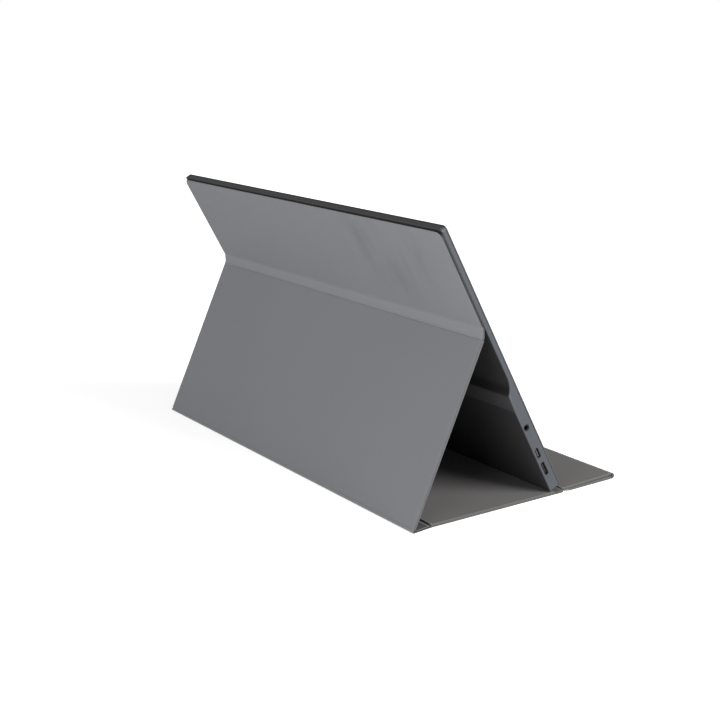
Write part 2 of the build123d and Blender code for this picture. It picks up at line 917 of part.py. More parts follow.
spine_place = Plane(
    origin=(0, spine_front_y, rear_lift),
    x_dir=X_WAY,
    z_dir=(0, sin(spine_pitch), cos(spine_pitch)),
)
build_panel("spine", spine_place, spine_length, spine_thick, (0, kick_corner))

base_place = Plane(
    origin=(0, base_front_y, 0),
    x_dir=X_WAY,
    z_dir=(0, -sin(base_pitch), cos(base_pitch)),
)
catch_length = cover_width - 2 * catch_side_gap
catch_row = [(0, catch_setback + catch_width / 2)]
catch_metal = build_panel(
    "base_panel",
    base_place,
    base_length,
    base_thick,
    (0, 0),
    catch_row,
    (catch_length, catch_width),
)
save(catch_metal, "base_panel_catch")

flap_place = Plane(
    origin=(0, flap_front_y, flap_thick + fold_gap),
    x_dir=X_WAY,
    z_dir=(0, sin(flap_pitch), cos(flap_pitch)),
)
build_panel("front_flap", flap_place, flap_length, flap_thick, (flap_corner, 0))

tuck_place = Plane(
    origin=(0, nose_y + tuck_length, flap_thick), x_dir=X_WAY, z_dir=(0, 0, -1)
)
tuck_row = magnet_row(tuck_magnet_count, tuck_magnet_edge)
tuck_metal = build_panel(
    "tucked_flap",
    tuck_place,
    tuck_length,
    flap_thick,
    (cover_corner, flap_corner),
    tuck_row,
    MAGNET,
)
save(tuck_metal, "tucked_flap_magnets")


# -------------------------------------------------------- flexible creases
def draw_bend(start, heading, radius, turn):
    """A band of the cover's cloth, its left side bent to `radius` through `turn`."""
    right = Vector(heading[1], -heading[0]) * strip_thick
    far_radius = radius + strip_thick if turn > 0 else radius - strip_thick
    with BuildLine() as band:
        left_side = JernArc(start=start, tangent=heading, radius=radius, arc_size=turn)
        right_side = JernArc(
            start=Vector(start) + right,
            tangent=heading,
            radius=far_radius,
            arc_size=turn,
        )
        Line(left_side @ 0, right_side @ 0)
        Line(left_side @ 1, right_side @ 1)
    make_face(band.edges())


strip_half = cover_width / 2
upper_edge_y = crease_y + (crease_half - strip_gap) * up_y
upper_edge_z = crease_z + (crease_half - strip_gap) * up_z

with BuildPart() as upper_crease:
    with BuildSketch(Plane.YZ):
        draw_bend(
            (upper_edge_y, upper_edge_z),
            (-up_y, -up_z),
            crease_radius,
            crease_turn,
        )
    extrude(amount=strip_half, both=True)
save(upper_crease, "upper_crease")

kick_edge = corner_setback - strip_gap

with BuildPart() as kick_crease:
    with BuildSketch(Plane.YZ):
        draw_bend(
            (corner_y - kick_edge * kick_y, corner_z + kick_edge * kick_z),
            (kick_y, -kick_z),
            corner_radius,
            -corner_turn,
        )
    extrude(amount=strip_half, both=True)
save(kick_crease, "kick_crease")

with BuildPart() as spine_hinge:
    with BuildSketch(Plane.YZ):
        with Locations((base_rear_y + spine_crease / 2, rear_lift)):
            Rectangle(spine_crease - 2 * strip_gap, strip_thick, align=MIDDLE_MIN)
    extrude(amount=strip_half, both=True)
save(spine_hinge, "spine_crease")

flap_rear_y = foot_y - flap_rear
flap_rear_z = flap_thick + layer_gap

with BuildPart() as base_hinge:
    with BuildSketch(Plane.YZ):
        with BuildLine():
            under = Spline(
                (base_front_y - strip_gap, 0),
                (flap_rear_y + 3 * strip_gap, flap_rear_z),
                tangents=((-1, 0), (-1, 0)),
            )
            over = Spline(
                (base_front_y - strip_gap, strip_thick),
                (flap_rear_y + 3 * strip_gap, flap_rear_z + strip_thick),
                tangents=((-1, 0), (-1, 0)),
            )
            Line(under @ 0, over @ 0)
            Line(under @ 1, over @ 1)
        make_face()
    extrude(amount=strip_half, both=True)
save(base_hinge, "base_crease")

nose_turn = 180 + degrees(flap_pitch)
nose_start_y = flap_front_y + (flap_thick - strip_thick) * sin(flap_pitch)
nose_start_z = flap_thick + fold_gap + (flap_thick - strip_thick) * cos(flap_pitch)

with BuildPart() as front_fold:
    with BuildSketch(Plane.YZ):
        draw_bend(
            (nose_start_y - strip_gap, nose_start_z),
            (-cos(flap_pitch), sin(flap_pitch)),
            nose_radius - strip_thick,
            nose_turn,
        )
    extrude(amount=strip_half, both=True)
save(front_fold, "front_fold")
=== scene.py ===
"""Looks of the portable monitor standing in its folding cover.

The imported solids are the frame. The cover's skins, linings and creases are
made again here with pressed edges, soft grooves and slight ripples; the
monitor's own solids keep their shape and get their finishes.
"""

import json
from math import asin, atan2, cos, hypot, pi, radians, sin, sqrt, tan

import bpy
from mathutils import Matrix, Vector, noise


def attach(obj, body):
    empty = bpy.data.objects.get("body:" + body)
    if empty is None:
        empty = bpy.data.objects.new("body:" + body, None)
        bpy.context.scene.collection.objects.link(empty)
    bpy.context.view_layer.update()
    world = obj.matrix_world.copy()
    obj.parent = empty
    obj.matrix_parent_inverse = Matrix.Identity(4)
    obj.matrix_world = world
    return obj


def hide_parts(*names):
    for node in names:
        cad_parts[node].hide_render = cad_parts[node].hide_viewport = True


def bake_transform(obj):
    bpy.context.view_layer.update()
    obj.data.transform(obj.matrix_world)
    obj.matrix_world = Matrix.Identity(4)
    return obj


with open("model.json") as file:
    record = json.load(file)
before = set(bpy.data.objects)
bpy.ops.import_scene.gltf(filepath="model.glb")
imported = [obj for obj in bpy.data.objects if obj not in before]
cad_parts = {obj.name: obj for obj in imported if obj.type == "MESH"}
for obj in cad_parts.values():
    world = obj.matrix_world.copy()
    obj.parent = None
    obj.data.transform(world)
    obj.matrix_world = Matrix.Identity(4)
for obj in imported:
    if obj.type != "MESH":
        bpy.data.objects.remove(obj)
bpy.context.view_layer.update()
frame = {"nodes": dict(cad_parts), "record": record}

MM = 0.001

# ------------------------------------------- the stand's side view, in mm
monitor_width = 357.0
monitor_height = 226.4
thick_depth = 10.3
thin_depth = 4.8
tilt = 27.93
foot_radius = 2.5
band_height = 76.4
ridge_height = 90.0
side_zone = 0.4
ramp_shade = 6.0
rim_depth = 0.3
socket_level = 3.45
tongue_half = 0.35
between_sockets = 28.7
cover_overhang = 0.45
cover_top_gap = 1.7
panel_thick = 1.6
base_thick = 2.1
flap_thick = 1.4
spine_thick = 1.3
strip_thick = 0.8
crease_height = 143.0
crease_half = 5.0
stand_spread = 124.87
spine_length = 12.6
corner_setback = 2.6
rear_lift = 0.95
spine_crease = 1.6
foot_setback = 3.5
foot_gap = 0.3
base_crease = 8.0
flap_length = 48.6
tuck_length = 47.6
layer_gap = 0.25
fold_gap = 1.65
cover_corner = 6.0
kick_corner = 1.6
flap_corner = 2.0
strip_gap = 0.03
facet_reach = 3.3
facet_radius = 0.9
kick_radius = 1.0
desk_gap = 0.01

lean = radians(tilt)
UP = Vector((0, sin(lean), cos(lean)))
OUT = Vector((0, -cos(lean), sin(lean)))
cover_width = monitor_width + 2 * cover_overhang
skin_step = thick_depth - thin_depth - panel_thick
spine_pitch = asin((rear_lift - desk_gap) / spine_length)
corner_z = desk_gap - corner_setback * sin(spine_pitch)
spine_run = (corner_setback + spine_length) * cos(spine_pitch)
base_run = stand_spread + foot_setback - spine_crease - spine_run
base_pitch = atan2(rear_lift, base_run)
base_length = hypot(base_run, rear_lift)
foot_rise = foot_radius * (cos(lean) + sin(lean) - 1)
foot_top = base_thick / cos(base_pitch) + foot_setback * tan(base_pitch)
foot_z = foot_top + foot_gap - foot_rise
crease_from_foot = crease_height * UP + skin_step * OUT
kick_dy = crease_from_foot.y - stand_spread
kick_dz = crease_from_foot.z + foot_z - corner_z
kick_reach = hypot(kick_dy, kick_dz)
kick_angle = atan2(kick_dz, -kick_dy)
corner_turn = pi - kick_angle + spine_pitch
corner_radius = (corner_setback - strip_gap) / tan(corner_turn / 2)
crease_turn = pi / 2 + lean - kick_angle
flap_pitch = asin((fold_gap - layer_gap) / flap_length)
flap_top_z = flap_thick + fold_gap + flap_thick * cos(flap_pitch)
nose_radius = flap_top_z / (1 + cos(flap_pitch))
nose_drift = flap_thick * sin(flap_pitch)
rear_reach = stand_spread - corner_setback * cos(spine_pitch)
rear_reach += corner_radius * (1 + sin(spine_pitch))
flap_rear = foot_setback + base_crease
flap_front = flap_rear + flap_length * cos(flap_pitch)
front_reach = flap_front - nose_drift + nose_radius * (1 + sin(flap_pitch))
foot_y = (front_reach - rear_reach) / 2
FOOT = Vector((0, foot_y, foot_z))
CREASE = FOOT + crease_from_foot
CORNER = Vector((0, foot_y + stand_spread, corner_z))
KICK_UP = Vector((0, -cos(kick_angle), sin(kick_angle)))
KICK_IN = Vector((0, -sin(kick_angle), -cos(kick_angle)))
SPINE_BACK = Vector((0, cos(spine_pitch), -sin(spine_pitch)))
SPINE_IN = Vector((0, sin(spine_pitch), cos(spine_pitch)))
BASE_BACK = Vector((0, cos(base_pitch), sin(base_pitch)))
BASE_IN = Vector((0, -sin(base_pitch), cos(base_pitch)))
FLAP_BACK = Vector((0, cos(flap_pitch), -sin(flap_pitch)))
FLAP_IN = Vector((0, sin(flap_pitch), cos(flap_pitch)))
spine_front_y = CORNER.y - spine_run
base_front_y = foot_y - foot_setback
base_rear_y = spine_front_y - spine_crease
flap_front_y = foot_y - flap_front
nose_y = flap_front_y + nose_drift - nose_radius * sin(flap_pitch)

# ------------------------------------------------------------------ camera
VIEW_YAW = radians(55.84)
VIEW_PITCH = radians(14.76)
VIEW_ROLL = radians(-0.753)
LENS = 67.47
SENSOR = 36.0
CAMERA_FROM_FOOT = Vector((-860.3, 627.9, 344.5))

camera_data = bpy.data.cameras.new("photo_camera")
camera_data.lens = LENS
camera_data.sensor_width = SENSOR
camera_data.clip_end = 50
camera = bpy.data.objects.new("photo_camera", camera_data)
bpy.context.scene.collection.objects.link(camera)
ahead = Vector(
    (
        cos(VIEW_PITCH) * sin(VIEW_YAW),
        -cos(VIEW_PITCH) * cos(VIEW_YAW),
        -sin(VIEW_PITCH),
    )
)
level = ahead.cross(Vector((0, 0, 1))).normalized()
above = level.cross(ahead)
across = level * cos(VIEW_ROLL) + above * sin(VIEW_ROLL)
upward = above * cos(VIEW_ROLL) - level * sin(VIEW_ROLL)
turn = Matrix((across, upward, -ahead)).transposed().to_4x4()
stand_point = CAMERA_FROM_FOOT + Vector((0, foot_y, 0))
camera.matrix_world = Matrix.Translation(stand_point * MM) @ turn
bpy.context.scene.camera = camera
bpy.context.scene.view_settings.view_transform = "Standard"


# --------------------------------------------------------------- materials
def grey(red, green, blue):
    """A colour given as it looks on screen, 0 to 255, made linear."""
    out = []
    for value in (red, green, blue):
        part = value / 255
        out.append(part / 12.92 if part < 0.04045 else ((part + 0.055) / 1.055) ** 2.4)
    return (*out, 1.0)


def finish_of(name, colour, rough, grain, depth, tone=0.08, spread=0.08, cells=0.0,
              wear_and_highlight=0.0, metal=0.0, sheen=0.0, coat=0.0, specular=0.5, patch=9.0):
    """A surface with drifting tone, fine grain, uneven roughness and lighter convex edges,
    partly worn edges and partly a painted highlight.
    """
    material = bpy.data.materials.new(name)
    material.use_nodes = True
    tree = material.node_tree
    nodes = tree.nodes
    links = tree.links
    shader = nodes["Principled BSDF"]
    shader.inputs["Metallic"].default_value = metal
    shader.inputs["Specular IOR Level"].default_value = specular
    shader.inputs["Sheen Weight"].default_value = sheen
    shader.inputs["Sheen Roughness"].default_value = 0.5
    shader.inputs["Coat Weight"].default_value = coat
    place = nodes.new("ShaderNodeTexCoord")
    drift = nodes.new("ShaderNodeTexNoise")
    drift.inputs["Scale"].default_value = patch
    drift.inputs["Detail"].default_value = 4
    links.new(place.outputs["Object"], drift.inputs["Vector"])
    fine = nodes.new("ShaderNodeTexNoise")
    fine.inputs["Scale"].default_value = grain
    fine.inputs["Detail"].default_value = 3
    links.new(place.outputs["Object"], fine.inputs["Vector"])
    height = fine.outputs["Fac"]
    if cells:
        pebble = nodes.new("ShaderNodeTexVoronoi")
        pebble.feature = "SMOOTH_F1"
        pebble.inputs["Scale"].default_value = cells
        links.new(place.outputs["Object"], pebble.inputs["Vector"])
        blend = nodes.new("ShaderNodeMix")
        blend.inputs["Factor"].default_value = 0.45
        links.new(pebble.outputs["Distance"], blend.inputs["A"])
        links.new(height, blend.inputs["B"])
        height = blend.outputs["Result"]
    bump = nodes.new("ShaderNodeBump")
    bump.inputs["Strength"].default_value = 0.6
    bump.inputs["Distance"].default_value = depth * MM
    links.new(height, bump.inputs["Height"])
    links.new(bump.outputs["Normal"], shader.inputs["Normal"])
    mottle = nodes.new("ShaderNodeMix")
    mottle.data_type = "RGBA"
    low = [channel * (1 - tone) for channel in colour[:3]] + [1.0]
    high = [min(1.0, channel * (1 + tone)) for channel in colour[:3]] + [1.0]
    mottle.inputs[6].default_value = low
    mottle.inputs[7].default_value = high
    links.new(drift.outputs["Fac"], mottle.inputs[0])
    paint = mottle.outputs[2]
    # Convex edges made lighter: partly wear, partly a painted highlight where edges catch the
    # light.
    if wear_and_highlight:
        edge = nodes.new("ShaderNodeNewGeometry")
        ridge = nodes.new("ShaderNodeMapRange")
        ridge.inputs["From Min"].default_value = 0.52
        ridge.inputs["From Max"].default_value = 0.66
        ridge.inputs["To Max"].default_value = wear_and_highlight
        links.new(edge.outputs["Pointiness"], ridge.inputs["Value"])
        worn_and_lit = nodes.new("ShaderNodeMix")
        worn_and_lit.data_type = "RGBA"
        worn_and_lit.inputs[7].default_value = [
            min(1.0, channel * 1.9 + 0.02) for channel in colour[:3]
        ] + [1.0]
        links.new(ridge.outputs["Result"], worn_and_lit.inputs[0])
        links.new(paint, worn_and_lit.inputs[6])
        paint = worn_and_lit.outputs[2]
    links.new(paint, shader.inputs["Base Color"])
    uneven = nodes.new("ShaderNodeMapRange")
    uneven.inputs["To Min"].default_value = max(0.03, rough - spread)
    uneven.inputs["To Max"].default_value = min(1.0, rough + spread)
    links.new(drift.outputs["Fac"], uneven.inputs["Value"])
    links.new(uneven.outputs["Result"], shader.inputs["Roughness"])
    return material


def lay_zones(material, base, zones):
    """Other colours in bands of a solid that is moulded in one piece: its own second colours,
    and also painted shade and painted highlights.

    A zone is a direction, the run along it in mm from the foot's middle where
    the zone starts and ends, its soft edge and its colour.
    """
    tree = material.node_tree
    nodes = tree.nodes
    links = tree.links
    paint_input = nodes["Principled BSDF"].inputs["Base Color"]
    paint = paint_input.links[0].from_socket
    place = nodes.new("ShaderNodeTexCoord")
    from_foot = nodes.new("ShaderNodeVectorMath")
    from_foot.operation = "SUBTRACT"
    from_foot.inputs[1].default_value = FOOT * MM
    links.new(place.outputs["Object"], from_foot.inputs[0])
    tint = None
    for way, start, end, soft, colour in zones:
        run = nodes.new("ShaderNodeVectorMath")
        run.operation = "DOT_PRODUCT"
        run.inputs[1].default_value = way
        links.new(from_foot.outputs["Vector"], run.inputs[0])
        off_middle = nodes.new("ShaderNodeMath")
        off_middle.operation = "SUBTRACT"
        off_middle.inputs[1].default_value = (start + end) / 2 * MM
        links.new(run.outputs["Value"], off_middle.inputs[0])
        distance = nodes.new("ShaderNodeMath")
        distance.operation = "ABSOLUTE"
        links.new(off_middle.outputs["Value"], distance.inputs[0])
        inside = nodes.new("ShaderNodeMapRange")
        half = abs(end - start) / 2
        inside.inputs["From Min"].default_value = (half + soft / 2) * MM
        inside.inputs["From Max"].default_value = (half - soft / 2) * MM
        if end < start:
            inside.inputs["To Min"].default_value = 1.0
            inside.inputs["To Max"].default_value = 0.0
        links.new(distance.outputs["Value"], inside.inputs["Value"])
        layer = nodes.new("ShaderNodeMix")
        layer.data_type = "RGBA"
        layer.inputs[6].default_value = (1, 1, 1, 1)
        ratio = [new / old for new, old in zip(colour[:3], base[:3])]
        layer.inputs[7].default_value = (*ratio, 1.0)
        if tint:
            links.new(tint, layer.inputs[6])
        links.new(inside.outputs["Result"], layer.inputs[0])
        tint = layer.outputs[2]
    tinted = nodes.new("ShaderNodeMix")
    tinted.data_type = "RGBA"
    tinted.blend_type = "MULTIPLY"
    tinted.inputs[0].default_value = 1.0
    links.new(paint, tinted.inputs[6])
    links.new(tint, tinted.inputs[7])
    links.new(tinted.outputs[2], paint_input)
    return material


ACROSS = Vector((1, 0, 0))


def side_faces(width, depth, colour):
    """The zone of the two side faces of a piece, from its width."""
    return (ACROSS, width / 2 - depth, depth - width / 2, depth, colour)


SIDE_GREY = grey(63, 67, 72)
BACK_GREY = grey(57, 57, 59)
HOUSING = finish_of("housing_plastic", BACK_GREY, 0.55, 2200, 0.03, tone=0.06, wear_and_highlight=0.2,
                    specular=0.4)
lay_zones(HOUSING, BACK_GREY, [
    (UP, band_height, ridge_height, 0.4, grey(76, 75, 78)),
    # Painted shade in the hollow just above the ridge, where little light reaches.
    (UP, ridge_height, ridge_height + ramp_shade, 3.0, grey(40, 40, 41)),
    side_faces(monitor_width, side_zone, SIDE_GREY),
])
BEZEL_GREY = grey(50, 51, 53)
BEZEL = finish_of("bezel_plastic", BEZEL_GREY, 0.5, 2200, 0.03, tone=0.06, wear_and_highlight=0.2,
                  specular=0.4)
lay_zones(BEZEL, BEZEL_GREY, [side_faces(monitor_width, side_zone, SIDE_GREY)])


def leather(name, face, rim):
    """Grained leather cloth, its cut edges darker: partly their own colour, partly painted
    shade over the light they catch.
    """
    material = finish_of(name, face, 0.62, 2600, 0.035, tone=0.05, cells=1500, wear_and_highlight=0.15,
                         specular=0.35, patch=7)
    return lay_zones(material, face, [side_faces(cover_width, rim_depth, rim)])


# Where the painted shade of the skin's ripple streaks lies on the upper panel, and how dark
# it is.
streak_place = CREASE + UP * 50 - ACROSS * 98
streak_across = 58
streak_along = 32
streak_inner = 0.4
streak_outer = 1.3
streak_pattern = (58, 0, 22)
streak_shade = 0.86


def paint_streak_shade(material):
    """Painted shade of soft ripple streaks in the cover's skin, in one oval patch."""
    nodes = material.node_tree.nodes
    links = material.node_tree.links
    paint_input = nodes["Principled BSDF"].inputs["Base Color"]
    paint = paint_input.links[0].from_socket
    place = nodes.new("ShaderNodeTexCoord")
    offset = nodes.new("ShaderNodeVectorMath")
    offset.operation = "SUBTRACT"
    offset.inputs[1].default_value = streak_place * MM
    links.new(place.outputs["Object"], offset.inputs[0])
    near = nodes.new("ShaderNodeVectorMath")
    near.operation = "MULTIPLY"
    near.inputs[1].default_value = (1 / streak_across / MM, 0, 1 / streak_along / MM)
    links.new(offset.outputs["Vector"], near.inputs[0])
    away = nodes.new("ShaderNodeVectorMath")
    away.operation = "LENGTH"
    links.new(near.outputs["Vector"], away.inputs[0])
    patch = nodes.new("ShaderNodeMapRange")
    patch.interpolation_type = "SMOOTHSTEP"
    patch.inputs["From Min"].default_value = streak_outer
    patch.inputs["From Max"].default_value = streak_inner
    links.new(away.outputs["Value"], patch.inputs["Value"])
    drawn = nodes.new("ShaderNodeVectorMath")
    drawn.operation = "MULTIPLY"
    drawn.inputs[1].default_value = streak_pattern
    links.new(offset.outputs["Vector"], drawn.inputs[0])
    pattern = nodes.new("ShaderNodeTexNoise")
    pattern.inputs["Scale"].default_value = 1
    links.new(drawn.outputs["Vector"], pattern.inputs["Vector"])
    strength = nodes.new("ShaderNodeMapRange")
    strength.inputs["From Min"].default_value = 0.45
    strength.inputs["From Max"].default_value = 0.7
    links.new(pattern.outputs["Fac"], strength.inputs["Value"])
    both = nodes.new("ShaderNodeMath")
    both.operation = "MULTIPLY"
    links.new(patch.outputs["Result"], both.inputs[0])
    links.new(strength.outputs["Result"], both.inputs[1])
    darker = nodes.new("ShaderNodeMix")
    darker.data_type = "RGBA"
    darker.blend_type = "MULTIPLY"
    darker.inputs[7].default_value = (streak_shade, streak_shade, streak_shade, 1)
    links.new(both.outputs["Value"], darker.inputs[0])
    links.new(paint, darker.inputs[6])
    links.new(darker.outputs[2], paint_input)


# Each rim colour below is partly the cut edge's own darker colour, partly painted shade over
# the light it catches.
COVER = leather("cover_leather", grey(132, 133, 137), grey(84, 84, 86))
# The upper leather is the cover's leather made a little lighter as painted light; its
# near-black rim is painted shade of the gap by the monitor, over a dark cut edge.
UPPER_COVER = leather("upper_leather", grey(136, 137, 141), grey(24, 24, 26))
paint_streak_shade(UPPER_COVER)
HEM = leather("hem_leather", grey(124, 123, 121), grey(76, 76, 75))
# The crease leather is the cover's leather made lighter as painted light for its slant; its
# darker rim is painted shade over the glint on its cut edge.
CREASE_GREY = grey(139, 140, 144)
CREASE_CLOTH = finish_of("crease_leather", CREASE_GREY, 0.6, 2600, 0.04,
                         tone=0.05, cells=1500, specular=0.35, patch=11)
lay_zones(CREASE_CLOTH, CREASE_GREY, [side_faces(cover_width, rim_depth, grey(76, 76, 77))])
# The upper panel's edges: a dark cut edge, mostly painted shade of the gap beside the monitor
# and over the glint they would catch.
DARK_EDGE = finish_of("cut_edge_painted_shade", grey(24, 24, 26), 0.7, 2600, 0.03, tone=0.05)
# The cover's microfibre made darker: painted shade for the spine's lining and edges in the
# stand's hollow.
SHADE_LINING = finish_of("microfibre_painted_shade", grey(58, 57, 56), 0.95, 3800, 0.09, tone=0.1,
                         sheen=0.1, specular=0.2, patch=16)
LINING = finish_of("cover_microfibre", grey(82, 80, 79), 0.95, 3800, 0.09, tone=0.1,
                   sheen=0.15, specular=0.2, patch=16)
SOCKET_GREY = grey(60, 60, 62)
SOCKETS = finish_of("sockets", SOCKET_GREY, 0.45, 1500, 0.01, metal=0.6)
lay_zones(SOCKETS, SOCKET_GREY, [
    # A painted highlight on the upper socket's tongue; the next zone takes it off the lower
    # socket's span again.
    (OUT, socket_level - tongue_half, socket_level + tongue_half, 0.1, grey(98, 100, 103)),
    (UP, foot_radius, between_sockets, 0.5, SOCKET_GREY),
])
NODE_FINISHES = {
    "cover_skin": COVER,
    "cover_lining": LINING,
    "cover_board": finish_of("stiffener", grey(200, 196, 186), 0.8, 900, 0.05),
    "magnet": finish_of("magnet_nickel", grey(185, 185, 188), 0.28, 600, 0.01, metal=1),
    "catch_plate": finish_of("catch_steel", grey(150, 150, 150), 0.4, 900, 0.01, metal=1),
    "rear_shell": HOUSING,
    "front_bezel": BEZEL,
    "screen": finish_of("screen_matte", grey(13, 13, 15), 0.3, 5200, 0.004, tone=0.05,
                        spread=0.03),
    "optical_film": finish_of("optical_film", grey(225, 228, 230), 0.35, 3000, 0.01),
    "light_guide": finish_of("light_guide", grey(215, 222, 226), 0.15, 1500, 0.01),
    "panel_tray": finish_of("panel_tray", grey(180, 181, 184), 0.38, 900, 0.02, metal=1),
    "led_strip": finish_of("led_strip", grey(232, 226, 190), 0.4, 1200, 0.01),
    "circuit_board": finish_of("circuit_board", grey(22, 84, 52), 0.42, 1700, 0.03),
    "chips": finish_of("chips", grey(30, 30, 31), 0.6, 2200, 0.03),
    "fasteners": finish_of("fasteners", grey(172, 172, 174), 0.32, 1300, 0.02, metal=1),
    "flat_cable": finish_of("flat_cable", grey(176, 120, 40), 0.4, 1300, 0.01),
    "speakers": finish_of("speakers", grey(36, 36, 37), 0.6, 2200, 0.03),
    "sockets": SOCKETS,
    "jack_body": finish_of("jack_body", grey(22, 22, 23), 0.35, 1500, 0.01),
    "switch_gear": finish_of("switch_gear", grey(44, 44, 45), 0.5, 1500, 0.02),
    "buttons": finish_of("buttons", grey(66, 70, 74), 0.5, 2200, 0.02, wear_and_highlight=0.3),
}

slot_of = {part["node"]: part["material_slot"] for part in frame["record"]["subparts"]}
for node, piece in frame["nodes"].items():
    piece.data.materials.clear()
    piece.data.materials.append(NODE_FINISHES[slot_of[node]])


# ------------------------------------------------------------ cover pieces
def link_mesh(name, points, faces, material, smooth=True):
    """A new object from points in mm."""
    mesh = bpy.data.meshes.new(name)
    mesh.from_pydata([tuple(point * MM) for point in points], [], faces)
    mesh.validate()
    mesh.update()
    piece = bpy.data.objects.new(name, mesh)
    bpy.context.scene.collection.objects.link(piece)
    mesh.materials.append(material)
    for face in mesh.polygons:
        face.use_smooth = smooth
    return piece


def flat_place(origin, along, inward):
    """Where a point across, along and into a flat panel lies."""
    def put(x, run, deep):
        return origin + Vector((x, 0, 0)) + along * run + inward * deep
    return put


def path_place(start, heading, inward, legs):
    """The same for a strip along straight and curved legs, each a length and a turn.

    A turn above zero leaves the strip's outer side hollow.
    """
    def put(x, run, deep):
        point, ahead, into = start, heading, inward
        left = run
        for number, (length, turn) in enumerate(legs):
            part = left if number == len(legs) - 1 else min(left, length)
            if turn:
                angle = turn * part / length
                radius = length / turn
                point = point - into * radius * (1 - cos(angle)) + ahead * radius * sin(angle)
                ahead, into = (ahead * cos(angle) - into * sin(angle),
                               into * cos(angle) + ahead * sin(angle))
            else:
                point = point + ahead * part
            left -= part
            if left <= 0:
                break
        return point + into * deep + Vector((x, 0, 0))
    return put


def steps(low, high, count, crowd=0.0):
    """Even steps, or crowded towards both ends."""
    out = []
    for number in range(count + 1):
        part = number / count
        if crowd:
            part = (1 - crowd) * part + crowd * (1 - cos(pi * part)) / 2
        out.append(low + (high - low) * part)
    return out


def build_slab(name, put, width, length, thick, material, radii=(0, 0), edge=0.35,
               columns=60, rows=24, relief=None, inner_material=None, edge_material=None):
    """A thin panel with rounded corners and edges, as rings of one grid."""
    near, far = radii
    zone = min(0.8, length / 5)

    def half_at(run, inset):
        """Half the width at a run along the panel, where its corners are round."""
        half = width / 2 - inset
        low = max(near - inset, 0.0)
        high = max(far - inset, 0.0)
        if low and run < inset + low:
            gone = low - (run - inset)
            half -= low - sqrt(max(low * low - gone * gone, 0.0))
        if high and run > length - inset - high:
            gone = high - (length - inset - run)
            half -= high - sqrt(max(high * high - gone * gone, 0.0))
        return half

    def runs_at(inset):
        """Runs along the panel, closer together over its round corners."""
        low = max(near - inset, zone)
        high = max(far - inset, zone)
        curve = [1 - cos(pi / 2 * number / 8) for number in range(9)]
        first = [inset + low * part for part in curve]
        last = [length - inset - high * part for part in reversed(curve)]
        gap = last[0] - first[-1]
        middle = [first[-1] + gap * number / rows for number in range(1, rows)]
        return first + middle + last

    def grid(inset, deep, side):
        lines = []
        for run in runs_at(inset):
            half = half_at(run, inset)
            line = []
            for x in steps(-half, half, columns, 0.35):
                level = deep + (relief(x, run, side) if relief else 0.0)
                line.append(put(x, run, level))
            lines.append(line)
        return lines

    points = []
    faces = []

    def rim_of(lines):
        rows_here = len(lines)
        loop = [(0, col) for col in range(columns)]
        loop += [(row, columns) for row in range(rows_here - 1)]
        loop += [(rows_here - 1, col) for col in range(columns, 0, -1)]
        loop += [(row, 0) for row in range(rows_here - 1, 0, -1)]
        return [lines[row][col] for row, col in loop], loop

    round_steps = 3
    top = grid(edge, 0.0, 1)
    bottom = grid(edge, thick, -1)
    rows_here = len(top)
    for lines in (top, bottom):
        for line in lines:
            points.extend(line)
    stride = columns + 1
    block = rows_here * stride
    for row in range(rows_here - 1):
        for col in range(columns):
            corner = row * stride + col
            faces.append((corner, corner + 1, corner + stride + 1, corner + stride))
            other = block + corner
            faces.append((other, other + stride, other + stride + 1, other + 1))
    _, loop = rim_of(top)
    previous = [row * stride + col for row, col in loop]
    ring_count = len(loop)
    levels = []
    for number in range(1, round_steps + 1):
        angle = pi / 2 * number / round_steps
        levels.append((edge * (1 - sin(angle)), edge * (1 - cos(angle)), 1))
    for number in range(round_steps, 0, -1):
        angle = pi / 2 * number / round_steps
        levels.append((edge * (1 - sin(angle)), thick - edge * (1 - cos(angle)), -1))
    for inset, deep, side in levels:
        ring, _ = rim_of(grid(inset, deep, side))
        first = len(points)
        points.extend(ring)
        current = list(range(first, first + ring_count))
        for spot in range(ring_count):
            after = (spot + 1) % ring_count
            faces.append((previous[spot], current[spot], current[after], previous[after]))
        previous = current
    last = [block + row * stride + col for row, col in loop]
    for spot in range(ring_count):
        after = (spot + 1) % ring_count
        faces.append((previous[spot], last[spot], last[after], previous[after]))
    piece = link_mesh(name, points, faces, material)
    mesh = piece.data
    if inner_material:
        mesh.materials.append(inner_material)
        inside = range(1, 2 * (rows_here - 1) * columns, 2)
        for number in inside:
            mesh.polygons[number].material_index = 1
    if edge_material:
        mesh.materials.append(edge_material)
        first_edge = 2 * (rows_here - 1) * columns + ring_count
        for number in range(first_edge, len(mesh.polygons)):
            mesh.polygons[number].material_index = len(mesh.materials) - 1
    bpy.context.view_layer.objects.active = piece
    piece.select_set(True)
    bpy.ops.object.mode_set(mode="EDIT")
    bpy.ops.mesh.select_all(action="SELECT")
    bpy.ops.mesh.normals_make_consistent(inside=False)
    bpy.ops.object.mode_set(mode="OBJECT")
    piece.select_set(False)
    mesh.update()
    return piece


def panel_relief(length, ripple, seed):
    """Slight hollows and waves of the outer skin over its board."""
    def relief(x, run, side):
        if side < 0:
            return 0.0
        ease = min(1.0, run / 9, (length - run) / 9, (cover_width / 2 - abs(x)) / 9) - 0.1
        wave = noise.noise(Vector((x / 46, run / 30, seed)))
        broad = noise.noise(Vector((x / 120, run / 70, seed + 7)))
        return max(ease, 0.0) * ripple * (wave * 0.6 + broad)
    return relief


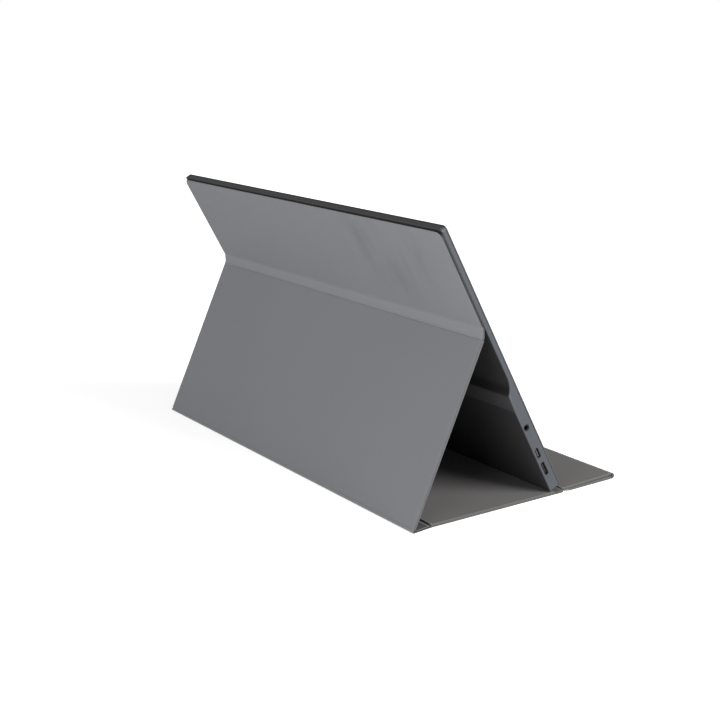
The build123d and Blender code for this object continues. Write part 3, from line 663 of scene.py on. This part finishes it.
def add_panel(name, body, origin, along, inward, length, thick, radii, ripple, seed,
              hem=1.1, gap=0.06, skin_finish=COVER, lining_finish=LINING,
              edge_finish=None):
    """A cover panel: a leather case and the lining let into its inner face."""
    put = flat_place(origin, along, inward)
    skin = build_slab(name + "_case", put, cover_width, length, thick, skin_finish, radii,
                      relief=panel_relief(length, ripple, seed),
                      edge_material=edge_finish)
    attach(skin, body)
    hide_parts(name + "_skin")
    inner = flat_place(origin + along * hem + inward * (thick - 0.3), along, inward)
    inset_radii = tuple(max(radius - hem, 0) for radius in radii)
    cloth = build_slab(name + "_inner", inner, cover_width - 2 * hem, length - 2 * hem,
                       0.3 + gap, lining_finish, inset_radii, edge=0.12)
    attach(cloth, body)
    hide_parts(name + "_lining")
    return skin


upper_length = monitor_height - cover_top_gap - crease_height - crease_half
kick_length = kick_reach - crease_half - corner_setback
add_panel("upper_panel", "monitor", CREASE + UP * crease_half, UP, OUT, upper_length,
          panel_thick, (0, cover_corner), 0.22, 3, gap=0.0,
          skin_finish=UPPER_COVER, edge_finish=DARK_EDGE)
add_panel("kick_panel", "kick", CORNER + KICK_UP * corner_setback, KICK_UP, KICK_IN,
          kick_length, panel_thick, (kick_corner, 0), 0.12, 11)
# The spine's lining and edges take the darker microfibre: painted shade.
add_panel("spine", "spine", Vector((0, spine_front_y, rear_lift)), SPINE_BACK, SPINE_IN,
          spine_length, spine_thick, (0, kick_corner), 0.0, 1,
          lining_finish=SHADE_LINING, edge_finish=SHADE_LINING)
add_panel("base_panel", "base", Vector((0, base_front_y, 0)), BASE_BACK, BASE_IN,
          base_length, base_thick, (0, 0), 0.0, 5, skin_finish=HEM)
add_panel("front_flap", "front_flap", Vector((0, flap_front_y, flap_thick + fold_gap)),
          FLAP_BACK, FLAP_IN, flap_length, flap_thick, (flap_corner, 0), 0.0, 7,
          skin_finish=HEM)
add_panel("tucked_flap", "tucked_flap", Vector((0, nose_y + tuck_length, flap_thick)),
          Vector((0, -1, 0)), Vector((0, 0, -1)), tuck_length, flap_thick,
          (cover_corner, flap_corner), 0.0, 9, skin_finish=HEM)


def groove_relief(span, depth, reach):
    """The strip sinks a little where it meets the panels, on both its faces."""
    def relief(x, run, side):
        sunk = max(1 - run / reach, 1 - (span - run) / reach, 0)
        return depth * sunk * sunk * side
    return relief


def add_strip(name, put, span, outside=None, inside=None,
              groove=0.22, reach=1.3):
    """A flexible crease between two panels, one face leather and one microfibre."""
    strip = build_slab(name + "_cloth", put, cover_width - 0.1, span, strip_thick,
                       outside or CREASE_CLOTH, (0, 0), edge=0.004, rows=20,
                       relief=groove_relief(span, groove, min(reach, span / 3)),
                       inner_material=inside or LINING)
    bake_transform(strip)
    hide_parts(name)
    return strip


crease_edge = crease_half - strip_gap
upper_start = CREASE + UP * crease_edge
facet_lead = facet_radius * tan(crease_turn / 4)
facet_leg = crease_edge - facet_reach
facet_width = 2 * facet_reach * cos(crease_turn / 2)
facet_bend = (facet_radius * crease_turn / 2, crease_turn / 2)
facet_end = (facet_leg - facet_lead, 0)
facet_legs = [facet_end, facet_bend, (facet_width - 2 * facet_lead, 0), facet_bend,
              facet_end]
upper_span = sum(length for length, turn in facet_legs)
add_strip("upper_crease", path_place(upper_start, -UP, OUT, facet_legs), upper_span)

kick_edge = corner_setback - strip_gap
kick_start = CORNER + KICK_UP * kick_edge
kick_lead = kick_radius * tan(corner_turn / 2)
kick_legs = [(kick_edge - kick_lead, 0), (kick_radius * corner_turn, -corner_turn),
             (kick_edge - kick_lead, 0)]
kick_span = sum(length for length, turn in kick_legs)
add_strip("kick_crease", path_place(kick_start, -KICK_UP, KICK_IN, kick_legs), kick_span,
          groove=0.1, reach=0.6)

spine_start = Vector((0, base_rear_y + strip_gap, rear_lift))
spine_span = spine_crease - 2 * strip_gap
add_strip("spine_crease",
          flat_place(spine_start, Vector((0, 1, 0)), Vector((0, 0, 1))), spine_span,
          groove=0.05)

flap_rear_y = foot_y - flap_rear
dip_start = Vector((0, base_front_y - strip_gap, 0))
dip_end = Vector((0, flap_rear_y + 3 * strip_gap, flap_thick + layer_gap))
dip_span = dip_start.y - dip_end.y


def dip_place(x, run, deep):
    """The crease in front of the foot thickens from the base to the flap."""
    part = run / dip_span
    rise = dip_end.z * part * part * (3 - 2 * part)
    return dip_start + Vector((x, -run, deep * (1 + rise / strip_thick)))


add_strip("base_crease", dip_place, dip_span)

nose_turn = pi + flap_pitch
nose_start = Vector((0, flap_front_y - strip_gap, flap_thick + fold_gap))
nose_start = nose_start + FLAP_IN * flap_thick
nose_span = nose_radius * nose_turn
add_strip("front_fold",
          path_place(nose_start, -FLAP_BACK, -FLAP_IN, [(nose_span, -nose_turn)]),
          nose_span,
          outside=LINING, inside=CREASE_CLOTH, groove=0.05,
          reach=0.5)


# ----------------------------------------------------------- stage and light
def stage_finish(name, colour, glow, far_glow, near_reach, far_reach):
    """A pale surface that the camera sees close to white, shadow kept."""
    material = bpy.data.materials.new(name)
    material.use_nodes = True
    tree = material.node_tree
    shader = tree.nodes["Principled BSDF"]
    shader.inputs["Base Color"].default_value = colour
    shader.inputs["Roughness"].default_value = 0.9
    shader.inputs["Specular IOR Level"].default_value = 0.1
    shader.inputs["Emission Color"].default_value = (1, 1, 1, 1)
    place = tree.nodes.new("ShaderNodeNewGeometry")
    reach = tree.nodes.new("ShaderNodeVectorMath")
    reach.operation = "LENGTH"
    tree.links.new(place.outputs["Position"], reach.inputs[0])
    fade = tree.nodes.new("ShaderNodeMapRange")
    fade.interpolation_type = "SMOOTHSTEP"
    fade.inputs["From Min"].default_value = near_reach
    fade.inputs["From Max"].default_value = far_reach
    fade.inputs["To Min"].default_value = glow
    fade.inputs["To Max"].default_value = far_glow
    tree.links.new(reach.outputs["Value"], fade.inputs["Value"])
    path = tree.nodes.new("ShaderNodeLightPath")
    scale = tree.nodes.new("ShaderNodeMath")
    scale.operation = "MULTIPLY"
    tree.links.new(fade.outputs["Result"], scale.inputs[1])
    tree.links.new(path.outputs["Is Camera Ray"], scale.inputs[0])
    tree.links.new(scale.outputs["Value"], shader.inputs["Emission Strength"])
    return material


floor_mesh = bpy.data.meshes.new("floor")
floor_mesh.from_pydata([(-6, -6, 0), (6, -6, 0), (6, 6, 0), (-6, 6, 0)], [], [(0, 1, 2, 3)])
FLOOR_WHITE = stage_finish("floor_white", grey(238, 238, 238), 0.6, 1.0, 0.35, 1.5)
floor_mesh.materials.append(FLOOR_WHITE)
floor = bpy.data.objects.new("floor", floor_mesh)
floor.location.z = -0.0001
bpy.context.scene.collection.objects.link(floor)

world = bpy.data.worlds.new("studio")
bpy.context.scene.world = world
world.use_nodes = True
sky = world.node_tree
background = sky.nodes["Background"]
background.inputs["Color"].default_value = (1, 1, 1, 1)
path = sky.nodes.new("ShaderNodeLightPath")
seen = sky.nodes.new("ShaderNodeMath")
seen.operation = "MAXIMUM"
sky.links.new(path.outputs["Is Camera Ray"], seen.inputs[0])
sky.links.new(path.outputs["Is Transmission Ray"], seen.inputs[1])
level_mix = sky.nodes.new("ShaderNodeMapRange")
level_mix.inputs["To Min"].default_value = 0.335
level_mix.inputs["To Max"].default_value = 1.0
sky.links.new(seen.outputs["Value"], level_mix.inputs["Value"])
sky.links.new(level_mix.outputs["Result"], background.inputs["Strength"])


def add_lamp(name, place, aim, size, power):
    """A soft square lamp."""
    data = bpy.data.lights.new(name, "AREA")
    data.shape = "RECTANGLE"
    data.size, data.size_y = size
    data.energy = power
    lamp = bpy.data.objects.new(name, data)
    bpy.context.scene.collection.objects.link(lamp)
    lamp.location = place
    way = Vector(aim) - Vector(place)
    lamp.rotation_euler = way.to_track_quat("-Z", "Y").to_euler()
    return lamp


add_lamp("behind", (-0.7, 2.4, 0.9), (0, 0.05, 0.08), (2.2, 1.2), 27.6)
add_lamp("beside", (-2.0, -1.0, 1.1), (0, 0, 0.08), (1.5, 1.2), 84)
